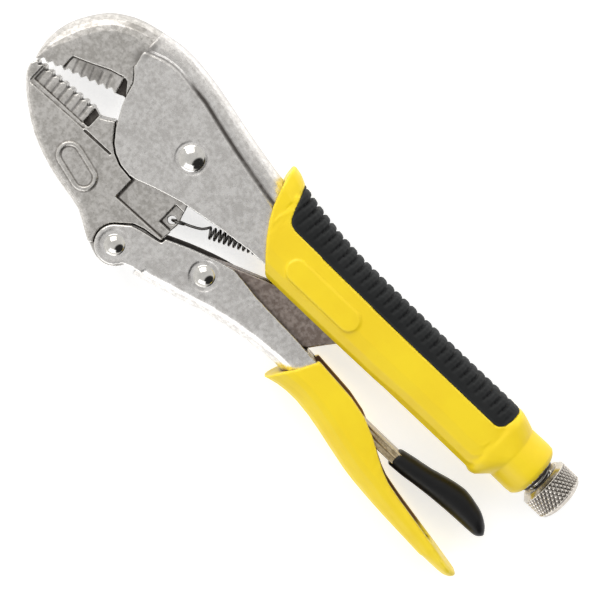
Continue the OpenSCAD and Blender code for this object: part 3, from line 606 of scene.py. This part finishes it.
def frame_channel():
    mesh = evened("frame_channel", voxel=0.4, passes=3)
    # Over the back, the front edge comes closer to the fixed jaw
    points, _ = points_of(mesh)
    points[:, 0] -= 0.9 * ramp(points[:, 0], -36.0, -36.6) * ramp(points[:, 1], 10, 15)
    put_points(mesh, points)

    def skin(p, n):
        ring = ring_dent(p, centre=(0, 0), radius=5.6, width=0.7, depth=0.22)
        return np.abs(n[:, 2]) * ring + cast_skin(p, SHEET_SKIN, seed=1)

    def dark(p, n):
        # Painted shade on the channel's inner faces and in the groove along the fold; the weld is a dark
        # stain
        x, y, _ = p.T
        inside = facing_in(p, n, -1) * ramp(x, 150, 140)
        weld = bump(x, -36.5, 3.0) * bump(y, 18.0, 9.0) * 0.5
        above = y - np.interp(x, *np.array(FOLD_LINE).T)
        fold = bump(above, -0.3, 1.7) * ramp(x, -27, -12) * ramp(y, -2, 2)
        fold *= ramp(np.abs(n[:, 2]), 0.3, 0.6)
        return np.maximum.reduce((0.65 * inside, weld, 0.8 * fold))

    push(mesh, skin)
    show(mesh, "upper_channel", PLATED, "upper_handle", "nickel_plate", "frame_channel", dark=dark)


def fixed_jaw():
    def marks(p, n):
        return tooth_marks(p, n, UPPER_TEETH, 0.2, 5.6, (-55, -37))

    def dark(p, n):
        # Painted shade in the slot, on the recessed tooth strip and in the broach lines; the weld is a dark
        # stain
        x, y, z = p.T
        slot = sunk(p, n, 2) * ramp(x, -38, -37)
        strip = bump(x, -45.5, 9.6) * ramp(np.abs(z), 6.9, 6.6) * ramp(np.abs(n[:, 2]), 0.6, 0.9) * 0.38
        weld = bump(x, -37.5, 5.0) * bump(y, 13.5, 6.5) * 0.5
        return np.maximum.reduce((slot, strip, 0.4 * marks(p, n), weld))

    mesh = evened("fixed_jaw", voxel=0.27, passes=2)
    push(mesh, lambda p, n: cast_skin(p, FORGED_SKIN, seed=3) - MARK_DEPTH * marks(p, n))
    show(mesh, "upper_jaw", FORGED, "upper_handle", "forged_nickel", "fixed_jaw", dark=dark)


def moving_jaw():
    def marks(p, n):
        return tooth_marks(p, n, LOWER_TEETH, -6.2, -0.2, (-60, -37))

    def dark(p, n):
        # Painted shade in the slot, on the step wall, in the groove and in the broach lines
        x, y, z = p.T
        slot = sunk(p, n, 2) * ramp(x, -37.6, -36.8) * ramp(x, -33.0, -33.8) * ramp(y, -19, -17.5)
        wall = bump(x, -9.9, 1.5) * ramp(y, -29.4, -28.4) * ramp(y, -18.8, -20.2)
        wall *= ramp(np.abs(z), 7.3, 6.6)
        groove = ramp(along_line(p, (-34, -18.8), (-21, -18.7))[1] ** 2, 1.0, 0.3) * ramp(x, -34.6, -33.6)
        groove *= ramp(x, -20.4, -21.4) * ramp(np.abs(z), 7.35, 7.0) * ramp(np.abs(n[:, 2]), 0.2, 0.7)
        return np.maximum.reduce((slot, wall, groove, 0.4 * marks(p, n)))

    mesh = evened("moving_jaw", voxel=0.27, passes=2)
    push(mesh, lambda p, n: cast_skin(p, FORGED_SKIN, seed=5) - MARK_DEPTH * marks(p, n))
    show(mesh, "lower_jaw_forging", FORGED, "lower_jaw", "forged_nickel", "moving_jaw", dark=dark)


def lower_handle():
    mesh = evened("lower_handle", voxel=0.4, passes=3)
    push(mesh, lambda p, n: cast_skin(p, SHEET_SKIN, seed=7))
    # Painted shade on the channel's inner faces
    show(mesh, "lower_channel", PLATED, "lower_handle_body", "nickel_plate", "lower_handle",
         dark=lambda p, n: 0.85 * facing_in(p, n, 1))


def toggle_link():
    mesh = evened("toggle_link", voxel=0.35, passes=3)
    push(mesh, lambda p, n: cast_skin(p, FORGED_SKIN, seed=9))
    show(mesh, "link_plate", BARE, "link", "bare_steel", "toggle_link")


# The sleeve's outline over and under the lever
SLEEVE_TOP = [
    (127, -24.7), (132.5, -23.6), (140, -22.3), (145.5, -20.9), (150, -19.9),
    (154.7, -19.4), (160, -20.2), (164.7, -21.6), (168.5, -24.0), (170.6, -25.9),
]
SLEEVE_BOTTOM = [
    (127, -31.8), (134, -31.4), (140, -30.7), (150, -29.9),
    (160, -29.5), (164.7, -29.4), (168.5, -29.0), (170.6, -28.0),
]


def height_at(x, line):
    """Height of a smooth line through points (x, height)."""
    xs, ys = np.array(line).T
    slopes = np.gradient(ys, xs)
    i = int(np.clip(np.searchsorted(xs, x) - 1, 0, len(xs) - 2))
    span = xs[i + 1] - xs[i]
    t = (x - xs[i]) / span
    return ((2 * t ** 3 - 3 * t * t + 1) * ys[i] + (t ** 3 - 2 * t * t + t) * span * slopes[i]
            + (3 * t * t - 2 * t ** 3) * ys[i + 1] + (t ** 3 - t * t) * span * slopes[i + 1])


def dipped_sleeve():
    """The vinyl dip on the release lever: a blunt lip in front, rounded sections along it and a rounded tip.
    """
    half = half_thickness("release_lever_sleeve")
    start, lip = 127.0, 0.5
    sides_close_at, sides_close_over = 164.0, 6.62
    nose_at, nose_over = 168.4, 2.2
    squareness = 2 / 2.3
    at_lip = [0, 0.12, 0.3, 0.6, 1.0]
    along = [1.0 + 41 * k / 68 for k in range(1, 69)]
    at_tip = [42.6, 43.0, 43.3, 43.5, 43.58]
    rows = []
    for step in at_lip + along + at_tip:
        x = start + step
        high, low = height_at(x, SLEEVE_TOP), height_at(x, SLEEVE_BOTTOM)
        round_lip = lip * (1 - math.sqrt(max(0, 1 - max(0, 1 - step) ** 2)))
        taper = math.sqrt(1 - (max(0, x - sides_close_at) / sides_close_over) ** 2)
        nose = math.sqrt(1 - (max(0, x - nose_at) / nose_over) ** 2)
        mid, tall, wide = (high + low) / 2, (high - low) / 2 * nose, half * taper
        ring = []
        for t in angles(56):
            c, s = math.cos(t), math.sin(t)
            w = (wide - round_lip) * math.copysign(abs(c) ** squareness, c)
            h = (tall - round_lip) * math.copysign(abs(s) ** squareness, s)
            ring.append(Vector((x, mid + h, w)))
        rows.append(ring)
    mesh = grid_mesh("release_lever_dip", rows)
    push(mesh, lambda p, n: cast_skin(p, 0.03, seed=11))
    show(mesh, "release_lever_dip", VINYL, "lever", "black_vinyl", "release_lever_sleeve")


def release_lever():
    mesh = evened("release_lever", voxel=0.25, passes=3)
    # Narrower inside the sleeve, so that it stays below the sleeve's rounded corners
    points, _ = points_of(mesh)
    points[:, 2] *= 1 - 0.3 * ramp(points[:, 0], 127.4, 129.4)
    put_points(mesh, points)

    def stripe(p):
        """1 on two fine grooves along the sides of the lever."""
        left = along_line(p, (100, -28.6), (126, -28.3))[1]
        return (bump(left, 0, 0.5) + 0.7 * bump(left, 1.7, 0.5)) * ramp(p[:, 0], 100, 104)

    push(mesh, lambda p, n: -0.2 * stripe(p) * ramp(np.abs(n[:, 2]), 0.5, 0.9))
    # Painted shade in the two grooves
    show(mesh, "release_lever_sheet", GOLDEN, "lever", "lever_steel", "release_lever",
         dark=lambda p, n: 0.5 * stripe(p))
    dipped_sleeve()


# ---- Grips ----

RIB_PITCH = 3.78
RIB_FROM = 44.0
RIB_TO = 143.5


def insert_ribs(points, normals):
    """Rounded ribs across the insert: deep on the back, faint on the sides, none at the border."""
    slant, back_y = 0.12, 15.5
    x, y, z = points.T
    along = x + slant * (back_y - y)
    valley = (0.5 + 0.5 * np.cos(TURN * (along - RIB_FROM) / RIB_PITCH)) ** 4
    reach = ramp(x, RIB_FROM - 7.5, RIB_FROM - 6) * ramp(x, RIB_TO + 2.5, RIB_TO + 1)
    border = ramp(y, 8.0, 10.0)
    outward = normals[:, 1] + np.abs(normals[:, 2]) * np.sign(z * normals[:, 2])
    depth = 0.30 + 1.0 * ramp(normals[:, 1], 0.1, 0.75)
    return -depth * valley * reach * border * ramp(outward, 0.1, 0.5)


def grips():
    mesh = evened("upper_grip", voxel=0.5, passes=4)
    relaxed(mesh, lambda p: bump(p[:, 0], 148.5, 4), 30)
    push(mesh, lambda p, n: 0.03 * grain(p, 9, 13))
    show(mesh, "upper_grip_shell", YELLOW, "upper_handle", "yellow_plastic", "upper_grip")
    mesh = evened("upper_grip_insert", voxel=0.35, passes=3)
    push(mesh, insert_ribs)
    show(mesh, "grip_insert_ribbed", CHARCOAL, "upper_handle", "soft_black", "upper_grip_insert")
    mesh = evened("lower_grip", voxel=0.4, passes=6)
    relaxed(mesh, lambda p: ramp(p[:, 0], 145, 150), 40)
    push(mesh, lambda p, n: 0.03 * grain(p, 9, 15))

    def shadowed(p, n):
        return facing_in(p, n, 1) * ramp(p[:, 0], 158, 148)

    show(mesh, "lower_grip_shell", YELLOW, "lower_handle_body", "yellow_plastic", "lower_grip", dark=shadowed)


# ---- Rivets ----

def rivet(name, node, head_r, body, slot):
    """A rivet with a polished dome and a small flat rim on both sides."""
    top = half_thickness(node)
    rise, dome_r, dome_rings = 1.75, head_r * 0.93, 14
    ball_r = (dome_r ** 2 + rise ** 2) / (2 * rise)
    reach = math.asin(dome_r / ball_r)
    half = [(top, 0.02)]
    for k in range(1, dome_rings + 1):
        t = reach * k / dome_rings
        half.append((top - ball_r * (1 - math.cos(t)), ball_r * math.sin(t)))
    for drop, radius in ((0.06, head_r * 0.97), (0.18, head_r), (0.4, head_r), (0.5, head_r * 0.8)):
        half.append((top - rise - drop, radius))
    profile = half + [(-h, r) for h, r in reversed(half)]
    mesh = turned(name, profile, in_tool(middle(node)), (0, 0, 1), 64)
    show(mesh, name, RIVET, body, slot, node)


# ---- Spring ----

def tube(name, path, radius):
    """A round wire along a path of points."""
    path = np.array(path, float)
    ahead = np.gradient(path, axis=0)
    ahead /= np.linalg.norm(ahead, axis=1)[:, None]
    side = np.cross(ahead[0], (0.3, 0.2, 0.9))
    rows = []
    for at, way in zip(path, ahead):
        side = side - way * side.dot(way)
        side /= np.linalg.norm(side)
        third = np.cross(way, side)
        rows.append([at + radius * (side * math.cos(t) + third * math.sin(t)) for t in angles(12)])
    return grid_mesh(name, rows)


def curve_through(points):
    """A smooth line through points."""
    steps = 6
    points = [points[0]] + list(points) + [points[-1]]
    out = []
    for a, b, c, d in zip(points, points[1:], points[2:], points[3:]):
        for k in range(steps):
            t = k / steps
            out.append(0.5 * (2 * b + (c - a) * t + (2 * a - 5 * b + 4 * c - d) * t * t
                              + (3 * b - a - 3 * c + d) * t ** 3))
    return out + [points[-1]]


def tension_spring():
    """Close turns between a hook in the jaw's ear and a hook round the anchor pin."""
    along = (ANCHOR - HOOK_HOLE).normalized()
    across = Vector((-along.y, along.x, 0))
    length = (ANCHOR - HOOK_HOLE).length
    front_r, rear_r = 2.4, 2.1
    coil_r, wire_r, turns, steps = 1.95, 0.5, 15, 24
    coil_from, coil_to = 13.8, 41.0

    def at(s, u, w):
        return HOOK_HOLE + along * s + across * u + Vector((0, 0, w))

    front = []
    for t in map(math.radians, range(30, 271, 30)):
        front.append(at(front_r + front_r * math.cos(t), 0, front_r * math.sin(t)))
    neck = [at(4.2, 0, -1.4), at(7, 0, -0.4), at(11, 0.4, 0)]
    coil = []
    for k in range(turns * steps + 1):
        t = TURN * k / steps
        s = coil_from + (coil_to - coil_from) * k / (turns * steps)
        coil.append(at(s, coil_r * math.cos(t), coil_r * math.sin(t)))
    rear = [at(43, 1.9, 0)]
    for t in map(math.radians, range(150, -131, -30)):
        rear.append(at(length + rear_r * math.cos(t), rear_r * math.sin(t), 0))
    path = curve_through(front + neck + [coil[0]]) + coil[1:-1] + curve_through([coil[-1]] + rear)
    mesh = tube("tension_spring_wire", path, wire_r)
    piece = show(mesh, "tension_spring_wire", SPRING, "upper_handle", "spring_steel", "tension_spring")
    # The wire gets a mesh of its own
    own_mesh(piece)


# ---- Adjusting screw ----

def screw_thread():
    """The screw's shank with a rolled thread and a chamfered tip."""
    start, end = ends_of("adjusting_screw")
    crest = half_thickness("adjusting_screw")
    pitch, depth, chamfer = 1.5, 0.75, 1.5
    rings_per_turn, around = 10, 48
    rows = []
    steps = int((end - start) / pitch * rings_per_turn)
    for i in range(steps + 1):
        x = start + (end - start) * i / steps
        narrowing = 1 if x > start + chamfer else 0.7 + 0.3 * min(1, (x - start) / chamfer + 0.05)
        ring = []
        for k, t in enumerate(angles(around)):
            phase = (x / pitch - k / around) % 1
            flank = min(1, max(0, abs(phase - 0.5) * 2.6 - 0.15))
            r = (crest - depth * flank) * narrowing
            ring.append(Vector((x, SCREW_Y + r * math.cos(t), r * math.sin(t))))
        rows.append(ring)
    mesh = grid_mesh("screw_shank", rows)
    show(mesh, "screw_shank", RIVET, "screw", "rivet_steel", "adjusting_screw")


def knurled_knob():
    """A drum with a crossed knurl, chamfered ends and a dark counterbore round the screw."""
    start, end = ends_of("knurled_knob")
    radius = half_thickness("knurled_knob")
    core = half_thickness("adjusting_screw") + 0.06
    teeth, per_tooth, depth, slant, run_out = 38, 10, 0.48, 0.62, 0.7
    front = [
        (start + 1.25, core), (start + 1.25, radius - 2.9), (start + 0.15, radius - 2.5),
        (start, radius - 2.3), (start, radius - 1.75), (start + 0.15, radius - 1.5),
        (start + 1.5, radius - 0.42),
    ]
    drum = [(start + 1.5 + (end - start - 3.4) * k / 44, radius) for k in range(45)]
    cap = [
        (end - 1.7, radius - 0.42), (end - 0.9, radius - 0.9), (end - 0.25, radius - 2.0),
        (end, radius - 2.6), (end - 0.05, radius - 4.5), (end - 0.12, 0.02),
    ]

    def circle(x, r):
        return [Vector((x, SCREW_Y + r * math.cos(t), r * math.sin(t))) for t in angles(teeth * per_tooth)]

    # The skin starts inside the drum, on the axis, and runs along the screw to the counterbore
    rows = [circle(end - 2.9, 0.02), circle(end - 2.9, core)]
    for x, r in front + drum + cap:
        if r != radius:
            rows.append(circle(x, r))
            continue
        climb = (x - start) / (TURN * radius / teeth)
        edge = min(1, (x - start - 1.5) / run_out, (end - 1.9 - x) / run_out)
        ring = []
        for k, t in enumerate(angles(teeth * per_tooth)):
            a = abs((k / per_tooth + slant * climb) % 1 - 0.5) * 2
            b = abs((k / per_tooth - slant * climb) % 1 - 0.5) * 2
            cut = depth * (1 - min(a, b) ** 0.8) * (0.35 + 0.65 * max(0, edge))
            ring.append(Vector((x, SCREW_Y + (r - cut) * math.cos(t), (r - cut) * math.sin(t))))
        rows.append(ring)
    mesh = grid_mesh("knob_knurled", rows)
    show(mesh, "knob_knurled", KNOB, "knob", "knob_nickel", "knurled_knob")


def keep_cad_nodes():
    """Small CAD parts whose shape is right keep it and get their finish."""
    for node, material in (("tail_bush", DARK), ("spring_anchor_pin", RIVET), ("release_lever_rivet", RIVET)):
        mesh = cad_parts[node].data
        mesh.materials.clear()
        mesh.materials.append(material)


set_camera()
set_light()
set_floor()
frame_channel()
fixed_jaw()
moving_jaw()
lower_handle()
toggle_link()
release_lever()
grips()
rivet("main_rivet_domed", "main_pivot_rivet", 4.8, "upper_handle", "rivet_steel")
rivet("jaw_rivet_domed", "jaw_pivot_rivet", 4.0, "lower_handle_body", "rivet_steel")
rivet("link_rivet_domed", "link_rivet", 4.1, "lower_handle_body", "rivet_steel")
tension_spring()
screw_thread()
knurled_knob()
keep_cad_nodes()
